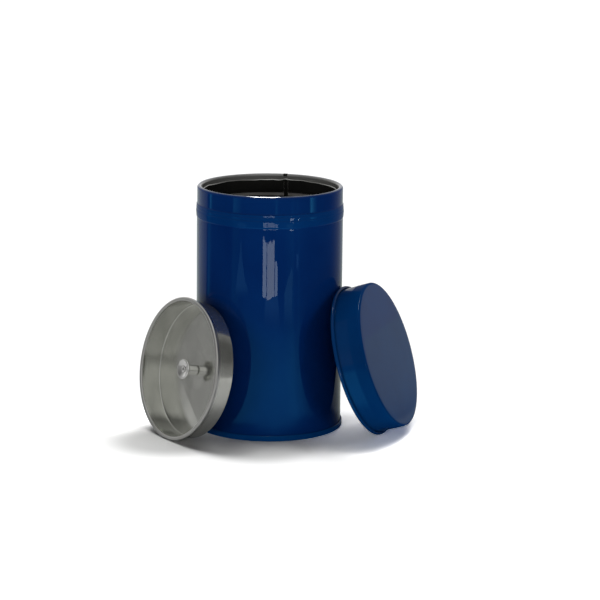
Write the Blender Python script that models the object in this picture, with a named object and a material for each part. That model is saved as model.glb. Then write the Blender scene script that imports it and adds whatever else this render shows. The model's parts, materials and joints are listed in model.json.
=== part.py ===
"""A round tea tin with two lids, standing open with its lids leaning against its wall.

The tin is turned about the Z axis and stands on z = 0. Its mouth has an inward curl, and its wall a raised
bead where the outer lid stops. The bottom is double-seamed to the wall, and a lock seam closes the wall at
the back. The bare inner lid, a plug with a knob, leans on the left, and the blue outer lid on the right.
Lengths are in metres. Every lid piece is modelled along its own Z axis, which is the way it is pulled off.
"""

import math

import bmesh
import bpy
from mathutils import Vector

MM = 0.001

# Sheet and fits
SHEET = 0.25 * MM  # thickness of all the tinplate
SEAM_GAP = 0.05 * MM  # between the folded layers of the bottom seam
SKIRT_PLAY = 0.15 * MM  # radial play of the outer lid on the neck
PLUG_PLAY = 0.4 * MM  # radial play of the inner lid in the mouth
KNOB_PLAY = 0.1 * MM  # between the riveted pieces of the knob
LEAN_GAP = 0.3 * MM  # between a leaning lid and the wall

# Wall of the tin
BODY_RADIUS = 42.5 * MM  # outside of the wall
BODY_HEIGHT = 142.2 * MM
NECK_STEP = 0.2 * MM  # how far the neck is drawn in from the wall
MOUTH_CURL = 1.35 * MM  # outside radius of the curl round the mouth
BEAD_DROP = 10 * MM  # from the mouth down to the bead
BEAD_HEIGHT = 8.8 * MM
BEAD_RISE = 0.45 * MM  # of the bead's crest above the wall

# Lock seam inside the wall, at the back
LOCK_HEADING = math.radians(77)
LOCK_WIDTH = 2.6 * MM
LOCK_RISE = 0.6 * MM
LOCK_RAMP = 0.15 * MM  # width of the seam's steep edges
LOCK_GROOVE = 0.14 * MM  # depth of the fine line that the seam leaves outside
LOCK_END = 0.6 * MM  # bare wall above and below the seam

# Bottom and its double seam
SEAM_HEIGHT = 3.3 * MM
SEAM_TUCK = 0.25 * MM  # how far each folded edge stops short
BASE_RECESS = 3 * MM  # from the floor up to the ring of the pressed bottom
BASE_CORNER = 0.8 * MM
BASE_RING = 5 * MM  # width of that ring
BASE_SLOPE = 2.2 * MM  # width of the slope down to the centre panel
BASE_LIFT = 1 * MM  # from the floor up to the centre panel

# Outer lid
SKIRT_DEPTH = 17.6 * MM
SKIRT_CORNER = 1.2 * MM  # outside radius between panel and skirt
SKIRT_CURL = 1 * MM  # outside radius of its curled edge
OUTER_LEAN = math.radians(18.3)
OUTER_HEADING = math.radians(-18.4)
OUTER_SLIP = 1 * MM  # how far it has rolled sideways along the wall

# Inner lid
PLUG_DEPTH = 12.1 * MM  # from the back of the pan to the middle of its curled rim
PLUG_CORNER = 0.95 * MM
PLUG_CURL = 1.2 * MM
INNER_LEAN = math.radians(11.5)
INNER_HEADING = math.radians(213)
INNER_SLIP = 0.9 * MM

# Knob on the inner lid
CAP_RADIUS = 6 * MM
CAP_SHEET = 0.5 * MM
CAP_DISH = 0.8 * MM  # how far the middle of the disc lies below its rim
CAP_SEAT = 2.7 * MM  # radius of the flat middle of the disc
CAP_EDGE = 0.55 * MM  # radius of the rounded rim
SLEEVE_RADIUS = 3 * MM
SLEEVE_LENGTH = 7.8 * MM
RIVET_RADIUS = 1.4 * MM
RIVET_BORE = 0.7 * MM
RIVET_HEAD = 2.3 * MM  # radius of each head
RIVET_HEAD_HEIGHT = 0.4 * MM

# Fineness of the round shapes
ROUND_STEPS = 48
KNOB_STEPS = 24
BEAD_STEPS = 6
CURL_STEP = math.radians(30)
CORNER_STEP = math.radians(30)
FOLD_STEP = math.radians(45)
SHARP_ANGLE = math.radians(50)

RIGHT_ANGLE = math.radians(90)
TURN = math.radians(360)
CURL_SWEEP = 3 * RIGHT_ANGLE  # how far each curl is rolled

# Radii that follow
WALL_MID = BODY_RADIUS - SHEET / 2
NECK_RADIUS = BODY_RADIUS - NECK_STEP
MOUTH_RADIUS = NECK_RADIUS - 2 * MOUTH_CURL
SKIRT_MID = NECK_RADIUS + SKIRT_PLAY + SHEET / 2
PLUG_MID = MOUTH_RADIUS - PLUG_PLAY - SHEET / 2
RIVET_HOLE = RIVET_RADIUS + KNOB_PLAY
LAYER = SHEET + SEAM_GAP  # from one layer of the bottom seam to the next


def clear_scene():
    for old in list(bpy.data.objects):
        bpy.data.objects.remove(old, do_unlink=True)


def finish(name, colour, roughness, metallic, coat=0.0):
    """A plain material with the colour, roughness and metallic value of one surface."""
    material = bpy.data.materials.new(name)
    material.use_nodes = True
    shader = material.node_tree.nodes["Principled BSDF"]
    shader.inputs["Base Color"].default_value = (*colour, 1.0)
    shader.inputs["Roughness"].default_value = roughness
    shader.inputs["Metallic"].default_value = metallic
    shader.inputs["Coat Weight"].default_value = coat
    return material


def arc(centre, radius, start, end, step):
    """Points of an arc about centre, from the angle start to the angle end, with both ends."""
    count = max(1, math.ceil(round(abs(end - start) / step, 6)))
    angles = [start + (end - start) * index / count for index in range(count + 1)]
    return [Vector((centre[0] + radius * math.cos(a), centre[1] + radius * math.sin(a))) for a in angles]


def sheet_sides(middle, thickness):
    """The two sides of a sheet that follows the (radius, height) points of middle, left side first."""
    runs = [(after - before).normalized() for before, after in zip(middle, middle[1:])]
    left = []
    right = []
    for point, before, after in zip(middle, [runs[0], *runs], [*runs, runs[-1]]):
        along = (before + after).normalized()
        across = Vector((-along.y, along.x)) * thickness / 2 / along.dot(after)
        left.append(point + across)
        right.append(point - across)
    return left, right


def even_stations(steps):
    return [TURN * index / steps for index in range(steps)]


def wall_stations():
    """Angles round the tin, with close ones at the lock seam: (angle, share of the seam, share of its groove)."""
    half = LOCK_WIDTH / 2 / BODY_RADIUS
    ramp = LOCK_RAMP / BODY_RADIUS
    groove = half - 3 * ramp
    seam = [(-half, 0, 0), (ramp - half, 1, 0), (groove - ramp, 1, 0), (groove, 1, 1), (groove + ramp, 1, 0)]
    seam += [(half - ramp, 1, 0), (half, 0, 0)]
    stations = [(LOCK_HEADING + offset, rise, depth) for offset, rise, depth in seam]
    rest = TURN - 2 * half
    plain = ROUND_STEPS - 1
    stations += [(LOCK_HEADING + half + rest * index / plain, 0, 0) for index in range(1, plain)]
    return stations


def turned(name, sides, angles, outside, inside=None):
    """A solid turned about Z, between two lists of (radius, height) points given once for each angle."""
    mesh = bpy.data.meshes.new(name)
    mesh.materials.append(outside)
    mesh.materials.append(inside or outside)
    shape = bmesh.new()
    on_axis = {}
    rings = []
    for angle, (left, right) in zip(angles, sides):
        ring = []
        for radius, height in [*left, *reversed(right)]:
            place = (radius * math.cos(angle), radius * math.sin(angle), height)
            if radius > 0:
                ring.append(shape.verts.new(place))
            else:
                if height not in on_axis:
                    on_axis[height] = shape.verts.new(place)
                ring.append(on_axis[height])
        rings.append(ring)
    outside_count = len(sides[0][0])
    for ring, after in zip(rings, [*rings[1:], rings[0]]):
        for index in range(len(ring)):
            other = (index + 1) % len(ring)
            corners = list(dict.fromkeys([ring[index], ring[other], after[other], after[index]]))
            if len(corners) > 2:
                face = shape.faces.new(corners)
                face.material_index = 0 if index < outside_count else 1
    bmesh.ops.recalc_face_normals(shape, faces=shape.faces)
    shape.to_mesh(mesh)
    shape.free()
    mesh.shade_smooth()
    mesh.set_sharp_from_angle(angle=SHARP_ANGLE)
    piece = bpy.data.objects.new(name, mesh)
    bpy.context.scene.collection.objects.link(piece)
    return piece


def turned_evenly(name, sides, steps, outside, inside=None):
    return turned(name, [sides] * steps, even_stations(steps), outside, inside)


def mouth_curl():
    """The inward curl, from its free edge over the top to the outside of the neck."""
    radius = MOUTH_CURL - SHEET / 2
    centre = (NECK_RADIUS - MOUTH_CURL, BODY_HEIGHT - MOUTH_CURL)
    return arc(centre, radius, CURL_SWEEP, 0, CURL_STEP)


def bead():
    """The raised ring, a smooth wave between the neck above it and the wall below it."""
    top = BODY_HEIGHT - BEAD_DROP
    points = []
    for index in range(BEAD_STEPS + 1):
        share = index / BEAD_STEPS
        wave = (1 - math.cos(TURN * share)) / 2
        step = (1 + math.cos(TURN / 2 * share)) / 2
        crest = BEAD_RISE + NECK_STEP / 2
        points.append(Vector((WALL_MID - NECK_STEP * step + crest * wave, top - BEAD_HEIGHT * share)))
    return points


def body_hook():
    """The wall's flange, folded outwards and up inside the bottom seam."""
    centre = (WALL_MID + LAYER, SHEET + SEAM_GAP + LAYER + SHEET / 2)
    hook = arc(centre, LAYER, 2 * RIGHT_ANGLE, 4 * RIGHT_ANGLE, FOLD_STEP)
    return hook + [Vector((WALL_MID + 2 * LAYER, SEAM_HEIGHT - SHEET / 2 - LAYER - SEAM_TUCK))]


def wall_sides():
    """The wall's two sides, once for each station, thicker inside at the lock seam."""
    curl = mouth_curl()
    neck = NECK_RADIUS - SHEET / 2
    seam_top = BODY_HEIGHT - 2 * MOUTH_CURL - LOCK_END
    seam_foot = BASE_RECESS + SHEET + LOCK_END
    above = [Vector((neck, seam_top + LOCK_RAMP))]
    beside = [Vector((neck, seam_top)), *bead(), Vector((WALL_MID, seam_foot))]
    below = [Vector((WALL_MID, seam_foot - LOCK_RAMP))]
    left, right = sheet_sides([*curl, *above, *beside, *below, *body_hook()], SHEET)
    first = len(curl) + len(above)
    last = first + len(beside)
    sides = []
    for _, rise, groove in wall_stations():
        outside = [Vector(point) for point in left]
        inside = [Vector(point) for point in right]
        for index in range(first, last):
            outside[index].x -= LOCK_GROOVE * groove
            inside[index].x -= LOCK_RISE * rise
        sides.append((outside, inside))
    return sides


def base_sides():
    """The pressed bottom, from its centre out to the edge that is folded down inside the seam."""
    panel = BASE_LIFT + SHEET / 2
    ring = BASE_RECESS + SHEET / 2
    chuck = WALL_MID - LAYER
    floor = SHEET / 2 + LAYER
    top = SEAM_HEIGHT - SHEET / 2 - LAYER
    ring_edge = chuck - BASE_CORNER
    middle = [
        Vector((0, panel)),
        Vector((ring_edge - BASE_RING - BASE_SLOPE, panel)),
        Vector((ring_edge - BASE_RING, ring)),
        *arc((ring_edge, ring - BASE_CORNER), BASE_CORNER, RIGHT_ANGLE, 0, CORNER_STEP),
        *arc((WALL_MID, floor), LAYER, 2 * RIGHT_ANGLE, 3 * RIGHT_ANGLE, FOLD_STEP),
        *arc((WALL_MID + 2 * LAYER, floor), LAYER, 3 * RIGHT_ANGLE, 4 * RIGHT_ANGLE, FOLD_STEP),
        *arc((WALL_MID + 2 * LAYER, top), LAYER, 0, 2 * RIGHT_ANGLE, FOLD_STEP),
        Vector((WALL_MID + LAYER, floor + LAYER + SEAM_TUCK)),
    ]
    return sheet_sides(middle, SHEET)


def outer_lid_sides():
    """The cap, from the centre of its panel to the free edge of its curl."""
    corner = SKIRT_CORNER - SHEET / 2
    panel = SKIRT_DEPTH - SHEET / 2
    curl = SKIRT_CURL - SHEET / 2
    start = 2 * RIGHT_ANGLE
    middle = [
        Vector((0, panel)),
        *arc((SKIRT_MID - corner, panel - corner), corner, RIGHT_ANGLE, 0, CORNER_STEP),
        *arc((SKIRT_MID + curl, SKIRT_CURL), curl, start, start + CURL_SWEEP, CURL_STEP),
    ]
    return sheet_sides(middle, SHEET)


def inner_lid_sides():
    """The pan, from its rivet hole out to its corner, up its wall and round its curl."""
    corner = PLUG_CORNER - SHEET / 2
    plate = SHEET / 2
    curl = PLUG_CURL - SHEET / 2
    start = 2 * RIGHT_ANGLE
    middle = [
        Vector((RIVET_HOLE, plate)),
        *arc((PLUG_MID - corner, plate + corner), corner, 3 * RIGHT_ANGLE, 4 * RIGHT_ANGLE, CORNER_STEP),
        *arc((PLUG_MID + curl, PLUG_DEPTH), curl, start, start - CURL_SWEEP, CURL_STEP),
    ]
    return sheet_sides(middle, SHEET)


def sleeve_foot():
    return SHEET + KNOB_PLAY


def cap_seat():
    """Height of the disc's flat middle, which sits on the sleeve."""
    return sleeve_foot() + SLEEVE_LENGTH + KNOB_PLAY


def knob_cap_sides():
    """The dished disc, with a rounded rim that turns back."""
    middle_height = cap_seat() + CAP_SHEET / 2
    rim = (CAP_RADIUS - CAP_SHEET / 2 - CAP_EDGE, middle_height + CAP_DISH - CAP_EDGE)
    middle = [
        Vector((RIVET_HOLE, middle_height)),
        Vector((CAP_SEAT, middle_height)),
        *arc(rim, CAP_EDGE, 1.3 * RIGHT_ANGLE, -0.3 * RIGHT_ANGLE, CORNER_STEP),
    ]
    return sheet_sides(middle, CAP_SHEET)


def knob_sleeve_sides():
    foot = sleeve_foot()
    outer = [Vector((SLEEVE_RADIUS, foot + SLEEVE_LENGTH)), Vector((SLEEVE_RADIUS, foot))]
    inner = [Vector((RIVET_HOLE, foot + SLEEVE_LENGTH)), Vector((RIVET_HOLE, foot))]
    return outer, inner


def knob_rivet_sides():
    """The tubular rivet: its head behind the pan, its shank, and its rolled-over end on the disc."""
    back = -KNOB_PLAY
    front = cap_seat() + CAP_SHEET + KNOB_PLAY
    end = front + RIVET_HEAD_HEIGHT
    foot = back - RIVET_HEAD_HEIGHT
    lead = RIVET_HEAD_HEIGHT / 2
    outer = [
        Vector((RIVET_HEAD - lead, end)),
        Vector((RIVET_HEAD, end - lead)),
        Vector((RIVET_HEAD, front)),
        Vector((RIVET_RADIUS, front)),
        Vector((RIVET_RADIUS, back)),
        Vector((RIVET_HEAD, back)),
        Vector((RIVET_HEAD, foot)),
    ]
    funnel = RIVET_BORE + lead
    inner = [
        Vector((funnel, end)),
        Vector((RIVET_BORE, end - lead)),
        Vector((RIVET_BORE, front)),
        Vector((RIVET_BORE, (front + back) / 2)),
        Vector((RIVET_BORE, back)),
        Vector((RIVET_BORE, back - lead)),
        Vector((RIVET_BORE, foot)),
    ]
    return outer, inner


def leaning_empty(name, sides, lean, heading, slip):
    """An empty on the lid's axis, placed so that the lid's edge meets the floor and its top the wall."""
    outline = [point for side in sides for point in side]
    lift = max(radius * math.cos(lean) - height * math.sin(lean) for radius, height in outline)
    reach = max(radius * math.sin(lean) - height * math.cos(lean) for radius, height in outline)
    away = Vector((math.cos(heading), math.sin(heading), 0))
    aside = Vector((-math.sin(heading), math.cos(heading), 0))
    empty = bpy.data.objects.new(name, None)
    empty.location = away * (BODY_RADIUS + LEAN_GAP + reach) + aside * slip + Vector((0, 0, lift))
    empty.rotation_euler = (RIGHT_ANGLE - lean, 0, heading + RIGHT_ANGLE)
    bpy.context.scene.collection.objects.link(empty)
    return empty


def make_tin(blue, black):
    angles = [angle for angle, _, _ in wall_stations()]
    turned("body_wall", wall_sides(), angles, blue, black)
    turned("base_end", [base_sides()] * len(angles), angles, black, blue)


def make_outer_lid(blue, black):
    sides = outer_lid_sides()
    lid = turned_evenly("outer_lid", sides, ROUND_STEPS, blue, black)
    lid.parent = leaning_empty("outer_lid_pull", sides, OUTER_LEAN, OUTER_HEADING, OUTER_SLIP)


def make_inner_lid(tinplate, steel):
    sides = inner_lid_sides()
    pieces = [
        turned_evenly("inner_lid", sides, ROUND_STEPS, tinplate),
        turned_evenly("knob_cap", knob_cap_sides(), KNOB_STEPS, steel),
        turned_evenly("knob_sleeve", knob_sleeve_sides(), KNOB_STEPS, steel),
        turned_evenly("knob_rivet", knob_rivet_sides(), KNOB_STEPS, steel),
    ]
    pull = leaning_empty("inner_lid_pull", sides, INNER_LEAN, INNER_HEADING, INNER_SLIP)
    for piece in pieces:
        piece.parent = pull


clear_scene()
blue_enamel = finish("blue_enamel", (0.003, 0.022, 0.095), 0.12, 0.0, 1.0)
black_lacquer = finish("black_lacquer", (0.004, 0.004, 0.004), 0.15, 0.0, 1.0)
bare_tinplate = finish("bare_tinplate", (0.46, 0.46, 0.44), 0.32, 1.0)
knob_steel = finish("knob_steel", (0.55, 0.55, 0.54), 0.2, 1.0)
make_tin(blue_enamel, black_lacquer)
make_outer_lid(blue_enamel, black_lacquer)
make_inner_lid(bare_tinplate, knob_steel)
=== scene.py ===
"""Looks of a round tea tin, open, with its bare inner lid and its blue outer lid leaning against it.

Every visible sheet is turned finely from a profile line, in the place of its CAD node. Lengths are in metres.
"""

import json
import math

import bpy
from mathutils import Matrix, Vector, noise


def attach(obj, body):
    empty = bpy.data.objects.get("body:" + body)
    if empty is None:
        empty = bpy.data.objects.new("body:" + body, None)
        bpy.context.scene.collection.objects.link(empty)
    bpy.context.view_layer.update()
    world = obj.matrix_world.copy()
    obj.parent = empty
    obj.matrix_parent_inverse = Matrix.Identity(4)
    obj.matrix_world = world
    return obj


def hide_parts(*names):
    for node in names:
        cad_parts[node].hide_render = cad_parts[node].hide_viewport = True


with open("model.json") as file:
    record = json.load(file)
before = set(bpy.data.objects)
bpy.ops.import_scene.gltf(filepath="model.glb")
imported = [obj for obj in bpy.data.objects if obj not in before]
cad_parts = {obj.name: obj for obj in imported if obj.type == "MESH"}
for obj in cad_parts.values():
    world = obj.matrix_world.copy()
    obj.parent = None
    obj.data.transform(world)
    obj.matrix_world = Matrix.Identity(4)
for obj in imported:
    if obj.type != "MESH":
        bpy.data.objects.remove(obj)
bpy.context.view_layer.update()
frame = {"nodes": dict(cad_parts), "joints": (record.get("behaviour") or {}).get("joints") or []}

MM = 0.001
QUARTER = math.pi / 2
TURN = 2 * math.pi
STEPS = 288  # facets round each turned sheet
KNOB_STEPS = 96  # facets round the knob's pieces
SHARP = math.radians(35)  # a steeper edge between two facets is shaded as an edge
ON_AXIS = 1e-7  # a smaller radius is on the axis

# Sizes that the CAD nodes have, for the finer shapes that stand for them
SHEET = 0.25 * MM
WALL = 42.5 * MM
WALL_MID = WALL - SHEET / 2
HEIGHT = 142.2 * MM
NECK = 42.3 * MM
CURL = 1.35 * MM
SEAM_TOP = 3.3 * MM
LAYER = 0.3 * MM
LOCK_HEADING = math.radians(77)
LOCK_WIDTH = 2.6 * MM
SKIRT_MID = 42.575 * MM
SKIRT_DEPTH = 17.6 * MM
PLUG_MID = 39.075 * MM
PLUG_DEPTH = 12.1 * MM

# Steps in the arcs whose points choose a material
CURL_STEPS = 28
LID_CURL_STEPS = 24
LID_CORNER_STEPS = 12

# Material numbers of the wall and of the inner lid
BLUE, BLACK, RIM, BARE_AND_SHEEN, GROOVE_PAINTED_LIGHT, MATT, LIP_PAINTED_LIGHT, RIDGE_PAINTED_LIGHT = range(8)
PAN, PAN_CURL, PLATE = range(3)


# ---- profile lines ----

def arc(centre, radius, start, end, count):
    """Points of an arc, with both ends, as (radius, height)."""
    angles = [start + (end - start) * index / count for index in range(count + 1)]
    return [Vector((centre[0] + radius * math.cos(a), centre[1] + radius * math.sin(a))) for a in angles]


def smooth_line(points, count):
    """A curve through points, with count steps between each pair."""
    padded = [2 * points[0] - points[1], *points, 2 * points[-1] - points[-2]]
    line = []
    for a, b, c, d in zip(padded, padded[1:], padded[2:], padded[3:]):
        for index in range(count):
            t = index / count
            line.append(0.5 * (2 * b + (c - a) * t + (2 * a - 5 * b + 4 * c - d) * t * t
                               + (3 * b - a - 3 * c + d) * t ** 3))
    return [*line, points[-1]]


def sheet_sides(middle, thickness):
    """The two sides of a sheet along a profile line, left side first."""
    runs = [(after - before).normalized() for before, after in zip(middle, middle[1:])]
    left = []
    right = []
    for point, before, after in zip(middle, [runs[0], *runs], [*runs, runs[-1]]):
        along = (before + after).normalized()
        across = Vector((-along.y, along.x)) * thickness / 2 / max(0.5, along.dot(after))
        left.append(point + across)
        right.append(point - across)
    return left, right


def tip(side, other):
    """The point that rounds a sheet's cut edge, past the last points of its two sides."""
    return (side[-1] + other[-1]) / 2 + (side[-1] - side[-2]).normalized() * SHEET * 0.3


def closed(sides):
    """One loop of points round a sheet's section, with both its cut edges rounded."""
    left, right = sides
    return [*left, tip(left, right), *reversed(right), tip(left[::-1], right[::-1])]


def from_axis(sides):
    """The points of a sheet's section from the axis, round its one cut edge and back to the axis."""
    left, right = sides
    left[0].x = right[0].x = 0
    return [*left, tip(left, right), *reversed(right)]


# ---- meshes ----

def added(name, data):
    """A new object in the scene, with a mesh, a lamp or a camera as its data."""
    made = bpy.data.objects.new(name, data)
    bpy.context.scene.collection.objects.link(made)
    return made


def turned(name, loops, angles, place, materials, slots, on_axis=False, bands=()):
    """A mesh turned about the place's Z axis.

    loops gives the section's points once for each angle, and slots a material number for each point. A section that
    starts and ends on the axis has on_axis set, and closes there. bands holds (first angle, last angle, points,
    material number) for upright bands of another material.
    """
    mesh = bpy.data.meshes.new(name)
    for made in materials:
        mesh.materials.append(made)
    points = []
    rings = []
    poles = {}
    for loop, angle in zip(loops, angles):
        ring = []
        for index, (radius, height) in enumerate(loop):
            if abs(radius) < ON_AXIS:
                if index not in poles:
                    poles[index] = len(points)
                    points.append((0, 0, height))
                ring.append(poles[index])
            else:
                ring.append(len(points))
                points.append((radius * math.cos(angle), radius * math.sin(angle), height))
        rings.append(ring)
    faces = []
    numbers = []
    count = len(rings[0])
    spans = range(count - 1) if on_axis else range(count)
    for angle, ring, after in zip(angles, rings, [*rings[1:], rings[0]]):
        for index in spans:
            other = (index + 1) % count
            corners = list(dict.fromkeys([ring[index], ring[other], after[other], after[index]]))
            if len(corners) > 2:
                faces.append(corners)
                band = [number for first, last, held, number in bands if first <= angle < last and index in held]
                numbers.append(band[0] if band else slots[index])
    mesh.from_pydata([place @ Vector(point) for point in points], [], faces)
    mesh.polygons.foreach_set("material_index", numbers)
    mesh.validate()
    piece = added(name, mesh)
    bpy.context.view_layer.objects.active = piece
    bpy.ops.object.select_all(action="DESELECT")
    piece.select_set(True)
    bpy.ops.object.mode_set(mode="EDIT")
    bpy.ops.mesh.select_all(action="SELECT")
    bpy.ops.mesh.normals_make_consistent(inside=False)
    bpy.ops.object.mode_set(mode="OBJECT")
    mesh.shade_smooth()
    mesh.set_sharp_from_angle(angle=SHARP)
    return piece


def even_angles(count):
    return [TURN * index / count for index in range(count)]


def stand_for(piece, body, slot, *nodes):
    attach(piece, body)
    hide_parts(*nodes)


def lid_place(node_name, joint_name):
    """The frame of a lid: Z is the way it is pulled off, and the origin is on its axis at its lowest height."""
    joint = next(j for j in frame["joints"] if j["name"] == joint_name)
    axis = Vector(joint["axis"]).normalized()
    side = Vector((0, 0, 1)).cross(axis).normalized()
    up = axis.cross(side)
    corners = [v.co for v in frame["nodes"][node_name].data.vertices]

    def reach(direction):
        heights = [c.dot(direction) for c in corners]
        return min(heights), max(heights)

    centre = side * sum(reach(side)) / 2 + up * sum(reach(up)) / 2 + axis * reach(axis)[0]
    return Matrix.Translation(centre) @ Matrix((side, up, axis)).transposed().to_4x4()


# ---- shader nodes ----

def rgba(colour):
    """A colour or a grey level, with its alpha."""
    return (*colour, 1) if isinstance(colour, tuple) else (colour, colour, colour, 1)


def put(tree, socket, value):
    """Links value to a node's input where it is a socket, and writes it there where it is plain."""
    if hasattr(value, "is_linked"):
        tree.links.new(value, socket)
    else:
        socket.default_value = value


def wire(tree, made, *values, **named):
    """Gives a node its inputs: values go to the first ones in order, named ones by name with _ for a blank."""
    for socket, value in zip(made.inputs, values):
        put(tree, socket, value)
    for name, value in named.items():
        put(tree, made.inputs[name.replace("_", " ")], value)


def node(tree, kind, *values, settings=None, **named):
    """A new node with some settings, and with inputs as for wire."""
    made = tree.nodes.new(kind)
    for key, value in (settings or {}).items():
        setattr(made, key, value)
    wire(tree, made, *values, **named)
    return made


def maths(tree, operation, *values):
    return node(tree, "ShaderNodeMath", *values, settings={"operation": operation}).outputs["Value"]


def vector_maths(tree, operation, *values):
    return node(tree, "ShaderNodeVectorMath", *values, settings={"operation": operation}).outputs


def ramp(tree, factor, stops):
    """A blend along factor through stops, each a position with a colour or a grey level."""
    made = node(tree, "ShaderNodeValToRGB", factor)
    elements = made.color_ramp.elements
    while len(elements) < len(stops):
        elements.new(0.5)
    for element, (position, colour) in zip(elements, stops):
        element.position = position
        element.color = rgba(colour)
    return made.outputs["Color"]


def mixed(tree, share, first, second):
    """A mix of two colours by a share, each colour a socket, a plain colour or a grey level."""
    made = node(tree, "ShaderNodeMix", share, settings={"data_type": "RGBA"})
    for number, value in ((6, first), (7, second)):  # the node's inputs and its output for colours
        put(tree, made.inputs[number], value if hasattr(value, "is_linked") else rgba(value))
    return made.outputs[2]


def step(tree, value, first, last):
    """A smooth change from 0 to 1 while value goes from first to last."""
    return node(tree, "ShaderNodeMapRange", settings={"interpolation_type": "SMOOTHSTEP"}, Value=value, From_Min=first,
                From_Max=last).outputs["Result"]


def spread(tree, noise_level, roughness, least, most):
    """Roughness that a noise changes, between two factors of it."""
    return node(tree, "ShaderNodeMapRange", Value=noise_level, From_Min=0.3, From_Max=0.7, To_Min=roughness * least,
                To_Max=roughness * most).outputs["Result"]


# ---- materials ----

def material(name):
    made = bpy.data.materials.new(name)
    made.use_nodes = True
    tree = made.node_tree
    return made, tree, tree.nodes["Principled BSDF"]


def local_point(tree, place):
    """The shaded point in a lid's own frame, or in the tin's where place is None."""
    point = node(tree, "ShaderNodeTexCoord").outputs["Object"]
    if place is None:
        return point
    shifted = vector_maths(tree, "SUBTRACT", point, place.translation)["Vector"]
    back = place.to_3x3().inverted().to_euler()
    return node(tree, "ShaderNodeVectorRotate", settings={"rotation_type": "EULER_XYZ"}, Vector=shifted,
                Rotation=back).outputs["Vector"]


def enamel(name, deep, light, roughness, coat, place=None, peel=0.02, coat_ior=1.2, coat_roughness=0.0):
    """Gloss stoving lacquer: faint cloudiness in the colour, orange peel in the surface.

    Only a fully smooth coat sees the studio that the world and the floor keep for singular rays.
    """
    made, tree, shader = material(name)
    point = local_point(tree, place)
    cloud = node(tree, "ShaderNodeTexNoise", Scale=26.0, Detail=3.0, Roughness=0.5, Vector=point)
    smear = node(tree, "ShaderNodeTexNoise", Scale=160.0, Detail=4.0, Roughness=0.6, Vector=point)
    orange_peel = node(tree, "ShaderNodeTexNoise", Scale=420.0, Detail=1.0, Roughness=0.4, Vector=point)
    bump = node(tree, "ShaderNodeBump", Strength=peel, Distance=0.0002, Height=orange_peel.outputs["Fac"])
    wire(
        tree, shader,
        Base_Color=ramp(tree, cloud.outputs["Fac"], ((0.35, deep), (0.65, light))),
        Roughness=spread(tree, smear.outputs["Fac"], roughness, 0.8, 1.3),
        Coat_Weight=coat,
        Coat_Roughness=coat_roughness,
        Coat_IOR=coat_ior,
        Specular_IOR_Level=0,
        Normal=bump.outputs["Normal"],
        Coat_Normal=bump.outputs["Normal"],
    )
    return made


def tinplate(name, dull, bright, roughness, place=None, grain=(1, 1, 1), bumps=0.03, metallic=1):
    """Bare tinplate: rolled grain along one way of the lid, mottling, and small changes of gloss."""
    made, tree, shader = material(name)
    point = local_point(tree, place)
    stretched = node(tree, "ShaderNodeMapping", Vector=point, Scale=grain).outputs["Vector"]
    lines = node(tree, "ShaderNodeTexNoise", Scale=90.0, Detail=5.0, Roughness=0.6, Vector=stretched)
    mottle = node(tree, "ShaderNodeTexNoise", Scale=70.0, Detail=4.0, Roughness=0.65, Vector=point)
    both = node(tree, "ShaderNodeMix", settings={"data_type": "FLOAT"}, Factor=0.45, A=mottle.outputs["Fac"],
                B=lines.outputs["Fac"]).outputs["Result"]
    bump = node(tree, "ShaderNodeBump", Strength=bumps, Distance=0.0001, Height=both)
    wire(
        tree, shader,
        Base_Color=ramp(tree, both, ((0.3, dull), (0.7, bright))),
        Metallic=metallic,
        Roughness=spread(tree, both, roughness, 0.92, 1.08),
        Normal=bump.outputs["Normal"],
    )
    return made


# ---- the tin ----

def turn_from(heading, angle):
    """The turn from a heading to an angle, from minus a half turn to a half turn."""
    return (angle - heading + math.pi) % TURN - math.pi


def ring_noise(angle, detail, seed):
    """Noise that closes round a ring, with shorter waves where detail is larger."""
    return noise.noise(Vector((detail * math.cos(angle), detail * math.sin(angle), seed)))


def lock_share(angle, half, edge):
    """1 over the lock seam and 0 beside it, with a steep edge."""
    off = abs(turn_from(LOCK_HEADING, angle)) * WALL
    return min(1.0, max(0.0, (half + edge / 2 - off) / edge))


def wall_angles():
    """Even angles, with close ones at the lock seam."""
    angles = even_angles(STEPS)
    half = LOCK_WIDTH / 2 / WALL
    for edge in (-half, -half / 3, half / 3, half):
        angles += [LOCK_HEADING + edge + count * 0.05 * MM / WALL for count in range(-4, 5)]
    return sorted({round(a % TURN, 6) for a in angles})


def bead_profile():
    """The raised ring: two fine ridges, then the crest and a nearly upright cone that steps back to the wall."""
    steps = (
        (132.6, -0.2), (132.2, -0.17), (131.85, 0), (131.65, 0.13), (131.5, 0.17), (131.4, 0.172), (130.85, 0.15),
        (130.7, 0.146), (130.5, 0.18), (130.25, 0.25), (130.05, 0.285), (129.9, 0.29), (129.75, 0.29), (128.8, 0.29),
        (128.65, 0.292), (128.5, 0.32), (128.25, 0.40), (128.0, 0.436), (127.7, 0.44), (127.4, 0.428), (126.9, 0.405),
        (126.2, 0.355), (125.5, 0.30), (124.8, 0.25), (124.45, 0.2), (124.15, 0.06), (123.8, 0),
    )
    return smooth_line([Vector((WALL_MID + out * MM, height * MM)) for height, out in steps], 4)


def hem_depth(angle):
    """Depth of the mouth curl's free edge below the mouth, which wavers as on a rolled tin."""
    seam = math.exp(-(turn_from(LOCK_HEADING, angle) / 0.06) ** 2)
    return (3.75 + 0.55 * ring_noise(angle, 3.1, 4.7) + 0.2 * ring_noise(angle, 9, 1.3) - 0.8 * seam) * MM


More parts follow.
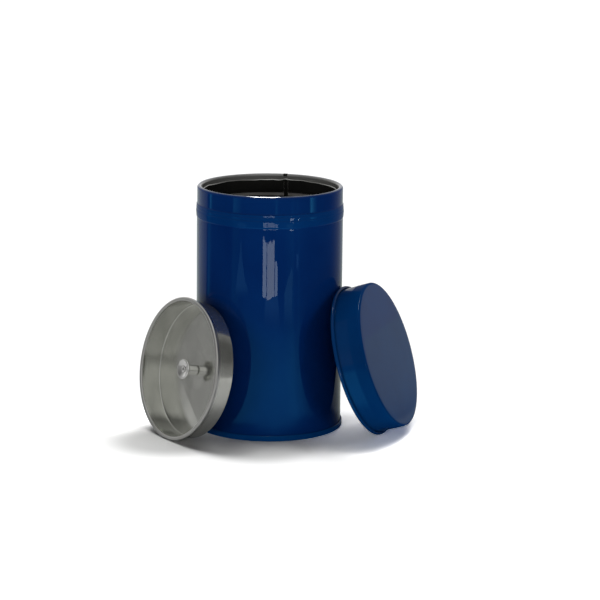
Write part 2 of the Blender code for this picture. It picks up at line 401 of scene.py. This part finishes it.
def hem_line(angle, inside):
    """The curl's free edge inside the mouth, rippled most at the right of the back."""
    drop = hem_depth(angle)
    rippled = math.exp(-(turn_from(0.75, angle) / 0.5) ** 2)
    ripple = ring_noise(angle, 9, 8.2) * (0.07 + 0.12 * rippled) * MM
    return [
        Vector((inside - 0.26 * MM + ripple, HEIGHT - drop + 0.05 * MM)),
        Vector((inside - 0.2 * MM + ripple, HEIGHT - drop + 0.2 * MM)),
        Vector((inside + 0.02 * MM + ripple, HEIGHT - drop + 0.5 * MM)),
        Vector((inside + ripple, HEIGHT - drop + 0.95 * MM)),
        Vector((inside - ripple / 2, HEIGHT - drop * 0.6)),
    ]


def wall_slots(loop, line_count, hem_count):
    """Material numbers for the wall's points: out of the mouth over the curl, down outside, and up inside.

    The hem's first points are its bare edge. The lip is lacquered nearly to the mouth's highest point, the crown, in a
    pale grey that is painted light.
    """
    bare_end = 7
    crown = hem_count + CURL_STEPS // 2
    lip_end = crown - 3
    rim_end = crown + 7
    slots = []
    for index, (_, height) in enumerate(loop):
        if index < bare_end or index == len(loop) - 1:
            slots.append(BARE_AND_SHEEN)
        elif index < lip_end:
            slots.append(LIP_PAINTED_LIGHT)
        elif index < rim_end:
            slots.append(RIM)
        elif index < line_count:
            # painted light: the bead's band takes a lighter navy for the light that the bead catches
            slots.append(RIDGE_PAINTED_LIGHT if 124.4 * MM < height < 131.9 * MM else BLUE)
        else:
            # painted light: a pale band in the bead's groove inside the mouth, for the light that the groove catches
            slots.append(GROOVE_PAINTED_LIGHT if 128.7 * MM < height < 130.5 * MM else BLACK)
    return slots


def make_wall(materials):
    centre = Vector((NECK - CURL, HEIGHT - CURL))
    roll = CURL - SHEET / 2
    curl = arc(centre, roll, 2 * QUARTER, 0, CURL_STEPS)
    neck = [Vector((NECK - SHEET / 2, height * MM)) for height in (140, 137, 134, 133.2)]
    hook_floor = SHEET + LAYER + SHEET / 2 + 0.05 * MM
    below = [Vector((WALL_MID, height * MM)) for height in (123.4, 122.8, 90, 60, 30, 5, 4.2)]
    below.append(Vector((WALL_MID, hook_floor + LAYER)))
    side = [*neck, *bead_profile(), *below]
    hook = arc(Vector((WALL_MID + LAYER, hook_floor)), LAYER, 2 * QUARTER, 4 * QUARTER, 8)
    half = LOCK_WIDTH / 2
    groove_half = LOCK_WIDTH / 6
    loops = []
    angles = wall_angles()
    for angle in angles:
        hem = smooth_line([*hem_line(angle, NECK - CURL - roll), curl[0] + Vector((0, -0.3 * MM))], 5)[:-1]
        line = [*hem, *curl, *side, *hook]
        curl_end = len(hem) + len(curl)
        side_end = curl_end + len(side)
        left, right = sheet_sides(line, SHEET)
        # The lock seam in mm: inside a strip that stands up by 0.5, and by 0.12 over the curl and hem, with a groove,
        # and outside a crease beside it that is 0.14 deep
        strip = lock_share(angle, half, 0.18 * MM)
        groove = lock_share(angle, groove_half, 0.1 * MM) - lock_share(angle, groove_half - 0.12 * MM, 0.1 * MM)
        crease = lock_share(angle - half / WALL, 0.16 * MM, 0.14 * MM)
        for index in range(curl_end, side_end - 1):
            right[index].x -= (0.5 * strip - 0.1 * groove) * MM
            left[index].x -= 0.14 * crease * MM
        for index in range(len(hem), curl_end):
            out = (left[index] - centre).normalized()
            left[index] += out * (0.12 * strip - 0.14 * groove) * MM
        for index in range(len(hem)):
            left[index].x -= (0.12 * strip - 0.14 * groove) * MM
        loops.append(closed((left, right)))
    count = len(line)
    half /= WALL
    # The seam strip's two edges are lines of bare tinplate, made bright and wide as painted highlights for the light
    # that the edges catch
    line_half = 0.13 * MM / WALL
    inner_face = range(count, count + count - curl_end)
    bands = [(LOCK_HEADING + edge - line_half, LOCK_HEADING + edge + line_half, inner_face, BARE_AND_SHEEN) for edge in (-half, half)]
    bands.append((LOCK_HEADING - half, LOCK_HEADING + half, inner_face, BLACK))
    bands.append((LOCK_HEADING - half, LOCK_HEADING + half, range(len(hem), curl_end), MATT))
    slots = wall_slots(loops[0], count, len(hem))
    piece = turned("tin_wall", loops, angles, Matrix(), materials, slots, bands=bands)
    stand_for(piece, "tin", "blue_enamel", "body_wall")


def make_base(blue, black):
    panel = 1 * MM + SHEET / 2
    ring = 3 * MM + SHEET / 2
    chuck = WALL_MID - LAYER
    floor = SHEET / 2 + LAYER
    top = SEAM_TOP - SHEET / 2 - LAYER
    edge = chuck - 0.8 * MM
    inside = [
        Vector((0, panel)),
        Vector((edge - 14 * MM, panel)),
        *smooth_line([
            Vector((edge - 8.6 * MM, panel)),
            Vector((edge - 7.2 * MM, panel)),
            Vector((edge - 6.1 * MM, (panel + ring) / 2)),
            Vector((edge - 5 * MM, ring)),
            Vector((edge - 3.4 * MM, ring)),
        ], 6),
        *arc(Vector((edge, ring - 0.8 * MM)), 0.8 * MM, QUARTER, 0, 8),
    ]
    seam = [
        *arc(Vector((WALL_MID, floor)), LAYER, 2 * QUARTER, 3 * QUARTER, 6),
        *arc(Vector((WALL_MID + 2 * LAYER, floor)), LAYER, 3 * QUARTER, 4 * QUARTER, 6),
        *arc(Vector((WALL_MID + 2 * LAYER, top)), LAYER, 0, 2 * QUARTER, 10),
        Vector((WALL_MID + LAYER, floor + LAYER + 0.25 * MM)),
    ]
    loop = from_axis(sheet_sides([*inside, *seam], SHEET))
    slots = [1 if index <= len(inside) else 0 for index in range(len(loop))]
    piece = turned("tin_base", [loop] * STEPS, even_angles(STEPS), Matrix(), [blue, black], slots, on_axis=True)
    stand_for(piece, "tin", "blue_enamel", "base_end")


# ---- the lids ----

def make_outer_lid(blue, corner_blue, place):
    corner = 1.2 * MM - SHEET / 2
    top = SKIRT_DEPTH - SHEET / 2
    curl = 1 * MM - SHEET / 2
    panel = [Vector((radius * MM, top)) for radius in (0, 20, 38)]
    line = [
        *panel,
        *arc(Vector((SKIRT_MID - corner, top - corner)), corner, QUARTER, 0, LID_CORNER_STEPS),
        Vector((SKIRT_MID, 10 * MM)),
        Vector((SKIRT_MID, 3 * MM)),
        *arc(Vector((SKIRT_MID + curl, 1 * MM)), curl, 2 * QUARTER, 5.1 * QUARTER, LID_CURL_STEPS),
    ]
    loop = from_axis(sheet_sides(line, SHEET))
    slots = [1 if 0 <= index - len(panel) <= LID_CORNER_STEPS else 0 for index in range(len(loop))]
    piece = turned("slip_lid", [loop] * STEPS, even_angles(STEPS), place, [blue, corner_blue], slots, on_axis=True)
    stand_for(piece, "outer_lid", "blue_enamel", "outer_lid")


def plate_fold(radius, angle):
    """Height of the faint fold in the inner lid's thin plate, below the knob.

    It has a straight crest with a short slope and a long one, and dies out at the knob and at the lid's wall.
    """
    crest_x, crest_y = -9.7 * MM, -10.9 * MM
    short_x, short_y = -0.63, -0.78  # the way down the short slope
    across = (radius * math.cos(angle) - crest_x) * short_x + (radius * math.sin(angle) - crest_y) * short_y
    ridge = max(0, 1 - across / (15 * MM)) if across > 0 else max(0, 1 + across / (26 * MM))
    inner = min(1, max(0, (radius - 5 * MM) / (7 * MM)))
    outer = min(1, max(0, (37.2 * MM - radius) / (5 * MM)))
    return 0.46 * MM * ridge * inner * inner * (3 - 2 * inner) * outer * (2 - outer)


def make_inner_lid(metal, rim_metal, plate_metal, place):
    corner = 0.95 * MM - SHEET / 2
    plate = SHEET / 2
    curl = 1.2 * MM - SHEET / 2
    rings = [1.5, 4, *range(6, 38)]  # mm from the axis, where the plate's points are
    upright = [
        *arc(Vector((PLUG_MID - corner, plate + corner)), corner, 3 * QUARTER, 4 * QUARTER, 10),
        Vector((PLUG_MID, 5 * MM)),
        Vector((PLUG_MID, 9 * MM)),
        *arc(Vector((PLUG_MID + curl, PLUG_DEPTH)), curl, 2 * QUARTER, -1.1 * QUARTER, LID_CURL_STEPS),
    ]
    loops = []
    angles = even_angles(STEPS)
    for angle in angles:
        flat = [Vector((radius * MM, plate + plate_fold(radius * MM, angle))) for radius in rings]
        loops.append(closed(sheet_sides([*flat, *upright], SHEET)))
    count = len(rings) + len(upright)
    slots = []
    for index in range(len(loops[0])):
        on_curl = abs(index - count) <= LID_CURL_STEPS + 1
        on_plate = index < len(rings) - 1 or index >= 2 * count - len(rings)
        slots.append(PAN_CURL if on_curl else PLATE if on_plate else PAN)
    piece = turned("plug_pan", loops, angles, place, [metal, rim_metal, plate_metal], slots)
    stand_for(piece, "inner_lid", "bare_tinplate", "inner_lid")


def make_knob(steel, dark, place):
    foot = SHEET + 0.1 * MM
    seat = foot + 7.8 * MM + 0.1 * MM
    cap = 0.5 * MM
    edge = 0.55 * MM
    low = seat + cap / 2
    rim = Vector((6 * MM - cap / 2 - edge, low + 0.8 * MM - edge))
    dish = smooth_line([
        Vector((1.5 * MM, low)),
        Vector((2.4 * MM, low + 0.02 * MM)),
        Vector((3.6 * MM, low + 0.3 * MM)),
        Vector((4.6 * MM, low + 0.66 * MM)),
    ], 6)
    disc = closed(sheet_sides([*dish, *arc(rim, edge, 1.15 * QUARTER, -0.9 * QUARTER, 14)], cap))
    tube = [
        Vector((2.85 * MM, seat - 0.1 * MM)),
        Vector((3.0 * MM, seat - 0.3 * MM)),
        Vector((3.0 * MM, foot + 0.9 * MM)),
        Vector((3.0 * MM, foot + 0.25 * MM)),
        Vector((2.85 * MM, foot)),
        Vector((1.5 * MM, foot)),
        Vector((1.5 * MM, seat - 0.1 * MM)),
    ]
    front = seat + cap + 0.1 * MM
    back = -0.1 * MM
    roll = 0.45 * MM
    rivet = [
        Vector((0.7 * MM, back)),
        Vector((0.7 * MM, front - 0.1 * MM)),
        *arc(Vector((0.7 * MM + roll, front + 0.02 * MM)), roll, 2 * QUARTER, 0.1 * QUARTER, 12),
        Vector((1.9 * MM, front)),
        Vector((1.4 * MM, front)),
        Vector((1.4 * MM, back)),
        Vector((2.2 * MM, back)),
        Vector((2.3 * MM, back - 0.12 * MM)),
        Vector((2.1 * MM, back - 0.36 * MM)),
        Vector((1.4 * MM, back - 0.4 * MM)),
        Vector((0.75 * MM, back - 0.38 * MM)),
    ]
    # the rivet's bore takes the dark metal: painted shade in the hole
    bore = 2  # points of the rivet that are inside its bore
    for name, loop, materials, slots, replaced in (
        ("knob_disc", disc, [steel], [0] * len(disc), "knob_cap"),
        ("knob_tube", tube, [steel], [0] * len(tube), "knob_sleeve"),
        ("knob_rivet_tube", rivet, [steel, dark], [1] * bore + [0] * (len(rivet) - bore), "knob_rivet"),
    ):
        piece = turned(name, [loop] * KNOB_STEPS, even_angles(KNOB_STEPS), place, materials, slots)
        stand_for(piece, "inner_lid", "knob_steel", replaced)


# ---- studio ----

# Directions round the tin as shares of a turn from +Y over +X, with what gloss sees there: the white sweep behind,
# and the dark room in front. EDGE is the neutral part, STRIPES and FAR_STRIPES the faint upright bands that polished
# enamel picks up from the floor nearer and farther than STRIPES_END, and ROOM what it sees above the horizon.
EDGE = (
    (0.000, 0.92), (0.100, 0.72), (0.120, 0.62), (0.150, 0.44), (0.185, 0.24), (0.205, 0.14), (0.290, 0.08),
    (0.814, 0.06), (0.818, 0.62), (0.850, 0.85), (0.890, 1.0), (1.000, 0.92),
)
CLOSE_EDGE = (
    (0.000, 0.92), (0.120, 0.80), (0.200, 0.55), (0.280, 0.30), (0.330, 0.06), (0.670, 0.06), (0.750, 0.30),
    (0.850, 0.85), (1.000, 0.92),
)
STRIPES = (
    (0.000, 0), (0.310, 0), (0.370, 0.01), (0.374, 0.10), (0.380, 0.02), (0.396, 0.02), (0.399, 0.09), (0.425, 0.03),
    (0.440, 0), (0.468, 0), (0.472, 0.05), (0.476, 0), (0.620, 0), (0.635, 0.05), (0.660, 0.09), (0.666, 0),
    (0.780, 0), (0.800, 0.10), (0.810, 0), (1.000, 0),
)
FAR_STRIPES = (
    (0.000, 0), (0.285, 0), (0.300, 0.25), (0.316, 0.95), (0.320, 0.60), (0.323, 0.02), (0.374, 0.02), (0.380, 0.1),
    (0.390, 0.02), (0.405, 0.12), (0.412, 0.02), (0.468, 0.03), (0.472, 0.40), (0.478, 0.02), (0.560, 0.02),
    (0.620, 0.02), (0.640, 0.2), (0.660, 0.35), (0.664, 0.02), (0.780, 0.02), (0.795, 0.35), (0.800, 0.02), (1.000, 0),
)
ROOM = (
    (0.000, 1.00), (0.100, 0.72), (0.140, 0.55), (0.180, 0.40), (0.220, 0.32), (0.300, 0.35), (0.400, 0.60),
    (0.500, 0.85), (0.600, 0.60), (0.680, 0.40), (0.740, 0.42), (0.800, 0.50), (0.840, 0.75), (0.900, 1.00),
    (1.000, 1.00),
)
# The same for satin metal: near the horizon, on the floor close by, and above
METAL_ROOM = (
    (0.000, 0.95), (0.100, 0.90), (0.140, 0.60), (0.180, 0.35), (0.250, 0.24), (0.310, 0.24), (0.400, 0.30),
    (0.500, 0.36), (0.600, 0.32), (0.700, 0.25), (0.800, 0.24), (0.825, 0.34), (0.850, 0.55), (0.900, 0.90),
    (1.000, 0.95),
)
METAL_FLOOR = (
    (0.000, 0.95), (0.100, 0.90), (0.150, 0.50), (0.190, 0.55), (0.240, 0.85), (0.300, 0.85), (0.370, 0.50),
    (0.450, 0.50), (0.600, 0.50), (0.700, 0.42), (0.800, 0.52), (0.840, 0.60), (0.900, 0.95), (1.000, 0.95),
)
METAL_ABOVE = (
    (0.000, 0.70), (0.100, 0.70), (0.180, 0.30), (0.250, 0.08), (0.350, 0.12), (0.430, 0.60), (0.500, 0.72),
    (0.580, 0.60), (0.700, 0.20), (0.770, 0.15), (0.830, 0.40), (0.900, 0.70), (1.000, 0.70),
)
# Where the sweep is, where the floor is dark for polished enamel, and where it glows for it, straight in front
BEHIND = ((0, 1), (0.1, 1), (0.18, 0.3), (0.25, 0), (0.75, 0), (0.83, 0.4), (0.9, 1), (1, 1))
FRONT = ((0, 0), (0.13, 0), (0.2, 1), (0.808, 1), (0.814, 0), (1, 0))
FACING = ((0, 0), (0.32, 0), (0.4, 1), (0.6, 1), (0.68, 0), (1, 0))
# Tints of the stripes and of the edge, and the glow's colour: far off, what it gains close by, and at the tin's foot
STRIPE_TINT = (0.9, 7.4, 13)
EDGE_TINT = (0.99, 1.08, 0.97)
FAR_GLOW = (0.03, 0.3, 1.0)
GLOW = (0.22, 2.2, 4.4)
FOOT_GLOW = (0.07, 0.9, 2.2)
# Distances from the axis over which one look of the floor gives way to the next, and over which GLOW sets in
FOOT_END = (0.05, 0.08)
GLOW_START = (0.42, 0.18)
CLOSE_EDGE_END = (0.2, 0.3)
STRIPES_END = (0.70, 0.72)
METAL_FLOOR_END = (0.28, 0.5)
# By the height of the direction, 0 at the horizon and 1 overhead: where ROOM is seen and where METAL_ABOVE takes over,
# and the white ceiling for polished enamel and for satin metal
LOW = ((0, 1), (0.18, 1), (0.5, 0))
RISING = ((0, 0), (0.05, 0), (0.28, 1))
CEILING = ((0, 0), (0.78, 0), (0.93, 1))
METAL_CEILING = ((0, 0), (0.9, 0), (0.97, 1))

FLOOR_RADIUS = 3
FLOOR_STEPS = 96
PAPER = (0.85, 0.85, 0.845)  # the floor's colour as a source of bounced light
PAPER_SEEN = (1.03, 1.03, 1.025)  # and as the camera sees it, white where it is lit
ROOM_LIGHT = 0.03  # what the world adds to the lamps
# Painted shadow and painted light: spots where the camera sees the floor darker or lighter inside the shadow: centre,
# reach and level
PAINTED_SHADOW_AND_LIGHT = (
    ((0.068, -0.034, 0), 0.055, 2.9),
    ((-0.085, 0.005, 0), 0.045, 1.5),
    ((-0.06, -0.045, 0), 0.04, 0.62),
    ((-0.005, -0.058, 0), 0.04, 0.68),
)

# Direction that the light goes, strength, and spread in degrees
SUNS = {
    "top_left": ((0.34, -0.23, -1), 0.9, 20),
    "top_middle": ((0.1, -0.25, -1), 0.9, 20),
    "top_right": ((-0.16, -0.23, -1), 0.9, 20),
    "top_far_right": ((-0.4, -0.16, -1), 0.5, 24),
    "front_fill": ((0, 1, -0.2), 0.46, 24),
    "front_left_fill": ((0.77, 0.64, -0.05), 0.9, 24),
    "front_right_fill": ((-0.77, 0.64, -0.05), 0.84, 24),
    "back_left_fill": ((0.77, -0.64, -0.05), 0.4, 24),
    "back_right_fill": ((-0.77, -0.64, -0.05), 0.4, 24),
    "under_fill": ((0, 0, 1), 0.7, 24),
}

# Cards in front of the tin: degrees round it to the right, distance, corners in mm, strength, colour, and
# whether the top is ragged or the share of the height over which the card fades in
CARDS = {
    "window_side": (0, 0.3, ((-51.3, 28.1), (-23.5, 28.1), (-23.5, 66), (-40, 67), (-46, 70.7), (-51.3, 70)),
                    24, (0.66, 0.82, 1.0), {}),
    "window_main": (0, 0.3, ((-19, 28.4), (-15, 26.7), (30, 28.7), (37, 28.9), (37, 68.3), (-19, 68.3)),
                    22, (0.76, 0.89, 1.0), {"ragged": True}),
    "window_edge": (0, 0.3, ((41, 28.7), (62, 28.7), (62, 48), (54, 53.2), (42, 53)), 24, (0.62, 0.80, 1.0), {}),
    "pane": (32, 0.28, ((-14, 78), (14, 78), (14, 87.5), (-14, 87.5)), 38, (0.7, 0.85, 1.0), {}),
    "spark": (42, 0.28, ((-2, 78), (2, 78), (2, 87.5), (-2, 87.5)), 90, (0.8, 0.9, 1.0), {}),
    "wedge_right": (31, 0.3, ((-46.9, 3.1), (14, 3.5), (15.7, 46.2), (8.9, 48.8), (-20.3, 41.4), (-46.9, 31)),
                    4.6, (0.16, 0.59, 1.0), {"fade": (0, 0.6)}),
    "wedge_left": (-45, 0.3, ((-36.4, 27.6), (86, 26.2), (45.2, 40.1), (21.4, 54.7), (13.5, 68.3), (1.1, 54.7),
                              (-19.6, 40.3)), 4.6, (0.13, 0.5, 1.0), {"fade": (0, 0.25)}),
    "slit": (45, 0.3, ((-28.3, 45.3), (-10.8, 45.3), (-10.8, 57.6), (-27, 57.6)),
             6.5, (0.12, 0.45, 1.0), {"fade": (0, 0.5)}),
    "column": (7, 0.3, ((-81.2, 3.7), (49.4, 5), (26.5, 30), (-65.3, 28.5)),
               4.4, (0.15, 0.5, 1.0), {"fade": (0, 0.8)}),
}

CAMERA_PLACE = (0, -1.436, 0.386)
CAMERA_TURNS = (0.718, 12.256, 0.629)  # degrees to the right, down and of roll
CAMERA_LENS = 150.6


def heading_share(tree, point):
    """The direction of point round the Z axis as a share of a turn from +Y over +X, and the point's height."""
    parts = node(tree, "ShaderNodeSeparateXYZ", Vector=point).outputs
    turn = maths(tree, "ARCTAN2", parts["X"], parts["Y"])
    return maths(tree, "FRACT", maths(tree, "DIVIDE", turn, TURN)), parts["Z"]


def make_world():
    """White to the camera, plain and dim to diffuse rays, and a grey room to gloss, darker to polished enamel."""
    world = bpy.data.worlds.new("studio")
    bpy.context.scene.world = world
    world.use_nodes = True
    world.cycles.sampling_method = "NONE"
    tree = world.node_tree
    share, height = heading_share(tree, node(tree, "ShaderNodeTexCoord").outputs["Generated"])
    dim = mixed(tree, ramp(tree, share, BEHIND), 0.3, 0.7)
    polished = mixed(tree, ramp(tree, height, LOW), dim, ramp(tree, share, ROOM))
    polished = mixed(tree, ramp(tree, height, CEILING), polished, 1)
    satin = mixed(tree, ramp(tree, height, RISING), ramp(tree, share, METAL_ROOM), ramp(tree, share, METAL_ABOVE))
    satin = mixed(tree, ramp(tree, height, METAL_CEILING), satin, 1)
    rays = node(tree, "ShaderNodeLightPath").outputs
    gloss = mixed(tree, rays["Is Singular Ray"], satin, polished)
    lit = mixed(tree, rays["Is Glossy Ray"], ROOM_LIGHT, gloss)
    clear = maths(tree, "MAXIMUM", rays["Is Camera Ray"], rays["Is Transmission Ray"])
    wire(tree, tree.nodes["Background"], Color=mixed(tree, clear, lit, 1), Strength=1)


def scaled(tree, level, colour, base):
    """A level times a colour, plus a base colour."""
    return vector_maths(tree, "MULTIPLY_ADD", level, colour, base)["Vector"]


def polished_floor(tree, share, distance):
    """What polished enamel sees of the floor: a blue glow in front with faint stripes, and the pale sweep behind."""
    close, far = ramp(tree, share, STRIPES), ramp(tree, share, FAR_STRIPES)
    stripes = mixed(tree, step(tree, distance, *STRIPES_END), close, far)
    facing = ramp(tree, share, FACING)
    glow = scaled(tree, step(tree, distance, *GLOW_START), GLOW, FAR_GLOW)
    seen = scaled(tree, stripes, STRIPE_TINT, mixed(tree, facing, 0, glow))
    seen = mixed(tree, ramp(tree, share, FRONT), 0, seen)
    seen = mixed(tree, step(tree, distance, *FOOT_END), mixed(tree, facing, 0, FOOT_GLOW), seen)
    edge = mixed(tree, step(tree, distance, *CLOSE_EDGE_END), ramp(tree, share, CLOSE_EDGE), ramp(tree, share, EDGE))
    return scaled(tree, edge, EDGE_TINT, seen)


def make_floor():
    """A pale floor with the object's shadow, deepened in some spots by painted shadow and faded in others by painted
    light for the camera, see-through from below and to light from below.
    """
    mesh = bpy.data.meshes.new("floor")
    ring = [(FLOOR_RADIUS * math.cos(a), FLOOR_RADIUS * math.sin(a), 0) for a in even_angles(FLOOR_STEPS)]
    mesh.from_pydata(ring, [], [list(range(FLOOR_STEPS))])
    floor = added("floor", mesh)
    made, tree, shader = material("pale_floor")
    tree.nodes.remove(shader)
    rays = node(tree, "ShaderNodeLightPath").outputs
    point = node(tree, "ShaderNodeTexCoord").outputs["Object"]
    share, _ = heading_share(tree, point)
    distance = vector_maths(tree, "LENGTH", point)["Value"]
    close, far = ramp(tree, share, METAL_FLOOR), ramp(tree, share, METAL_ROOM)
    satin = mixed(tree, step(tree, distance, *METAL_FLOOR_END), close, far)
    gloss = mixed(tree, rays["Is Singular Ray"], satin, polished_floor(tree, share, distance))
    lit = mixed(tree, rays["Is Glossy Ray"], PAPER, gloss)
    seen = PAPER_SEEN
    # painted shadow and painted light: the floor's colour for the camera is darkened or lightened round each centre
    for centre, reach, level in PAINTED_SHADOW_AND_LIGHT:
        away = vector_maths(tree, "DISTANCE", point, centre)["Value"]
        seen = mixed(tree, step(tree, away, reach, reach * 0.4), seen, (level, level, level * 0.99))
    paper = node(tree, "ShaderNodeBsdfDiffuse", Color=mixed(tree, rays["Is Camera Ray"], lit, seen))
    clear = node(tree, "ShaderNodeBsdfTransparent")
    backfacing = node(tree, "ShaderNodeNewGeometry").outputs["Backfacing"]
    through = maths(tree, "MAXIMUM", backfacing, rays["Is Shadow Ray"])
    under = node(tree, "ShaderNodeMixShader", through, paper.outputs["BSDF"], clear.outputs["BSDF"])
    wire(tree, tree.nodes["Material Output"], Surface=under.outputs["Shader"])
    mesh.materials.append(made)


def make_sun(name, towards, strength, degrees):
    """A soft sun that shows in no reflection."""
    data = bpy.data.lights.new(name, "SUN")
    data.energy = strength
    data.angle = math.radians(degrees)
    lamp = added(name, data)
    lamp.location = (0, 0, 1)
    lamp.rotation_mode = "QUATERNION"
    lamp.rotation_quaternion = Vector(towards).to_track_quat("-Z", "Y")
    lamp.visible_camera = lamp.visible_glossy = False


def make_card(name, outline, place, strength, colour, ragged=False, fade=None):
    """A glowing card that lights nothing, and shows as a highlight in polished enamel alone.

    It can have a ragged top, or fade in over a share of its height.
    """
    mesh = bpy.data.meshes.new(name)
    mesh.from_pydata([place @ Vector((x * MM, y * MM, 0)) for x, y in outline], [], [list(range(len(outline)))])
    card = added(name, mesh)
    made, tree, shader = material(name)
    tree.nodes.remove(shader)
    shown = node(tree, "ShaderNodeLightPath").outputs["Is Singular Ray"]
    point = node(tree, "ShaderNodeTexCoord").outputs["Generated"]
    height = node(tree, "ShaderNodeSeparateXYZ", Vector=point).outputs["Z"]
    if ragged:
        torn = node(tree, "ShaderNodeTexNoise", Scale=5.0, Detail=3.0, Roughness=0.6, Vector=point).outputs["Fac"]
        down = node(tree, "ShaderNodeMapRange", Value=height, From_Min=1.0, From_Max=0.86, To_Min=-0.6,
                    To_Max=0.0).outputs["Result"]
        kept = step(tree, maths(tree, "ADD", torn, down), -0.05, 0.15)
        shown = maths(tree, "MULTIPLY", kept, shown)
    if fade:
        shown = maths(tree, "MULTIPLY", step(tree, height, *fade), shown)
    glow = node(tree, "ShaderNodeEmission", Color=rgba(colour), Strength=strength)
    clear = node(tree, "ShaderNodeBsdfTransparent")
    seen = node(tree, "ShaderNodeMixShader", shown, clear.outputs["BSDF"], glow.outputs["Emission"])
    wire(tree, tree.nodes["Material Output"], Surface=seen.outputs["Shader"])
    made.cycles.emission_sampling = "NONE"
    mesh.materials.append(made)
    card.visible_camera = card.visible_diffuse = card.visible_shadow = False


def upright_card(heading, distance):
    """The place of a card that stands in front of the tin: X to the right and Y up, as seen from the camera's side."""
    turn = Matrix.Rotation(heading, 4, "Z")
    return turn @ Matrix.Translation((0, -distance, 0)) @ Matrix.Rotation(QUARTER, 4, "X")


def make_camera():
    """The photograph's viewpoint, fitted to the tin's rim, bead and base."""
    yaw, pitch, roll = (math.radians(value) for value in CAMERA_TURNS)
    ahead = Vector((math.sin(yaw) * math.cos(pitch), math.cos(yaw) * math.cos(pitch), -math.sin(pitch)))
    level = Vector((math.cos(yaw), -math.sin(yaw), 0))
    upright = level.cross(ahead)
    right = math.cos(roll) * level + math.sin(roll) * upright
    up = -math.sin(roll) * level + math.cos(roll) * upright
    data = bpy.data.cameras.new("camera")
    data.sensor_width = 36
    data.lens = CAMERA_LENS
    data.clip_start = 0.1
    data.clip_end = 20
    camera = added("camera", data)
    camera.matrix_world = Matrix.Translation(CAMERA_PLACE) @ Matrix((right, up, -ahead)).transposed().to_4x4()
    bpy.context.scene.camera = camera


# ---- the scene ----

make_camera()
outer_place = lid_place("outer_lid", "outer_lid_pull")
inner_place = lid_place("inner_lid", "inner_lid_pull")

DEEP = (0.0003, 0.0128, 0.080)
LIGHT = (0.0006, 0.0170, 0.094)
LID_DEEP = (0.0003, 0.0190, 0.084)
LID_LIGHT = (0.0006, 0.0240, 0.098)
INK = (0.0130, 0.0130, 0.0122)
SOOT = (0.0200, 0.0200, 0.0188)

black = enamel("black_lacquer", INK, SOOT, 0.25, 0.9, peel=0.1, coat_ior=1.45, coat_roughness=0.08)

make_wall([
    enamel("navy_enamel", DEEP, LIGHT, 0.16, 0.6),
    black,
    enamel("rim_enamel", (0.004, 0.018, 0.062), (0.006, 0.024, 0.072), 0.2, 1.0, coat_ior=1.45),
    # bare tinplate: the hem's real cut edge, and painted highlights along the seam strip's edges
    tinplate("bare_edge_and_sheen", (0.45, 0.45, 0.43), (0.60, 0.60, 0.57), 0.3, bumps=0.05, metallic=0.8),
    # painted light: the pale band in the bead's groove inside
    tinplate("groove_painted_light", (0.36, 0.345, 0.33), (0.48, 0.465, 0.45), 0.4, bumps=0.05, metallic=0.3),
    enamel("seam_lacquer", INK, SOOT, 0.6, 0.0, peel=0.1),
    # painted light: the lacquer inside the curl is a pale grey for the light that it catches
    enamel("lip_lacquer_painted_light", (0.11, 0.11, 0.105), (0.16, 0.16, 0.152), 0.3, 1.0, peel=0.1, coat_ior=1.8,
           coat_roughness=0.12),
    # painted light: a lighter navy on the bead for the light that it catches
    enamel("ridge_enamel_painted_light", (0.0003, 0.0195, 0.095), (0.0006, 0.0240, 0.110), 0.16, 0.36),
])
# painted light: the base takes a lighter navy for the light that its seam catches
make_base(enamel("base_enamel_painted_light", (0.0003, 0.0250, 0.105), (0.0006, 0.0300, 0.120), 0.16, 0.6), black)
make_outer_lid(
    enamel("lid_enamel", LID_DEEP, LID_LIGHT, 0.16, 0.6, outer_place),
    enamel("corner_enamel", LID_DEEP, LID_LIGHT, 0.3, 0.12, outer_place),
    outer_place,
)
make_inner_lid(
    tinplate("pan_tinplate", (0.49, 0.495, 0.46), (0.63, 0.635, 0.595), 0.13, inner_place, (1, 1, 30), 0.04, 0.96),
    # painted shade: the pan's curl takes a darker copy of its tinplate
    tinplate("curl_tinplate_painted_shade", (0.45, 0.45, 0.43), (0.55, 0.55, 0.53), 0.3, inner_place),
    tinplate("plate_tinplate", (0.47, 0.475, 0.445), (0.65, 0.655, 0.615), 0.165, inner_place, (1, 1, 8), 0.05, 0.96),
    inner_place,
)
make_knob(
    tinplate("knob_metal", (0.70, 0.70, 0.68), (0.84, 0.84, 0.82), 0.12, inner_place),
    # painted shade: the rivet's bore is dark metal for the shade in the hole
    tinplate("knob_bore_painted_shade", (0.10, 0.10, 0.10), (0.16, 0.16, 0.16), 0.5, inner_place, metallic=0.8),
    inner_place,
)

make_world()
make_floor()
for name, sun in SUNS.items():
    make_sun(name, *sun)
above = Matrix.Translation((-0.05, 0.4, 1.1))
make_card("rim_card", ((-130, -350), (130, -350), (130, 350), (-130, 350)), above, 60, (1, 1, 1))
for name, (heading, distance, outline, strength, colour, look) in CARDS.items():
    make_card(name, outline, upright_card(math.radians(heading), distance), strength, colour, **look)

bpy.context.scene.view_settings.view_transform = "Standard"
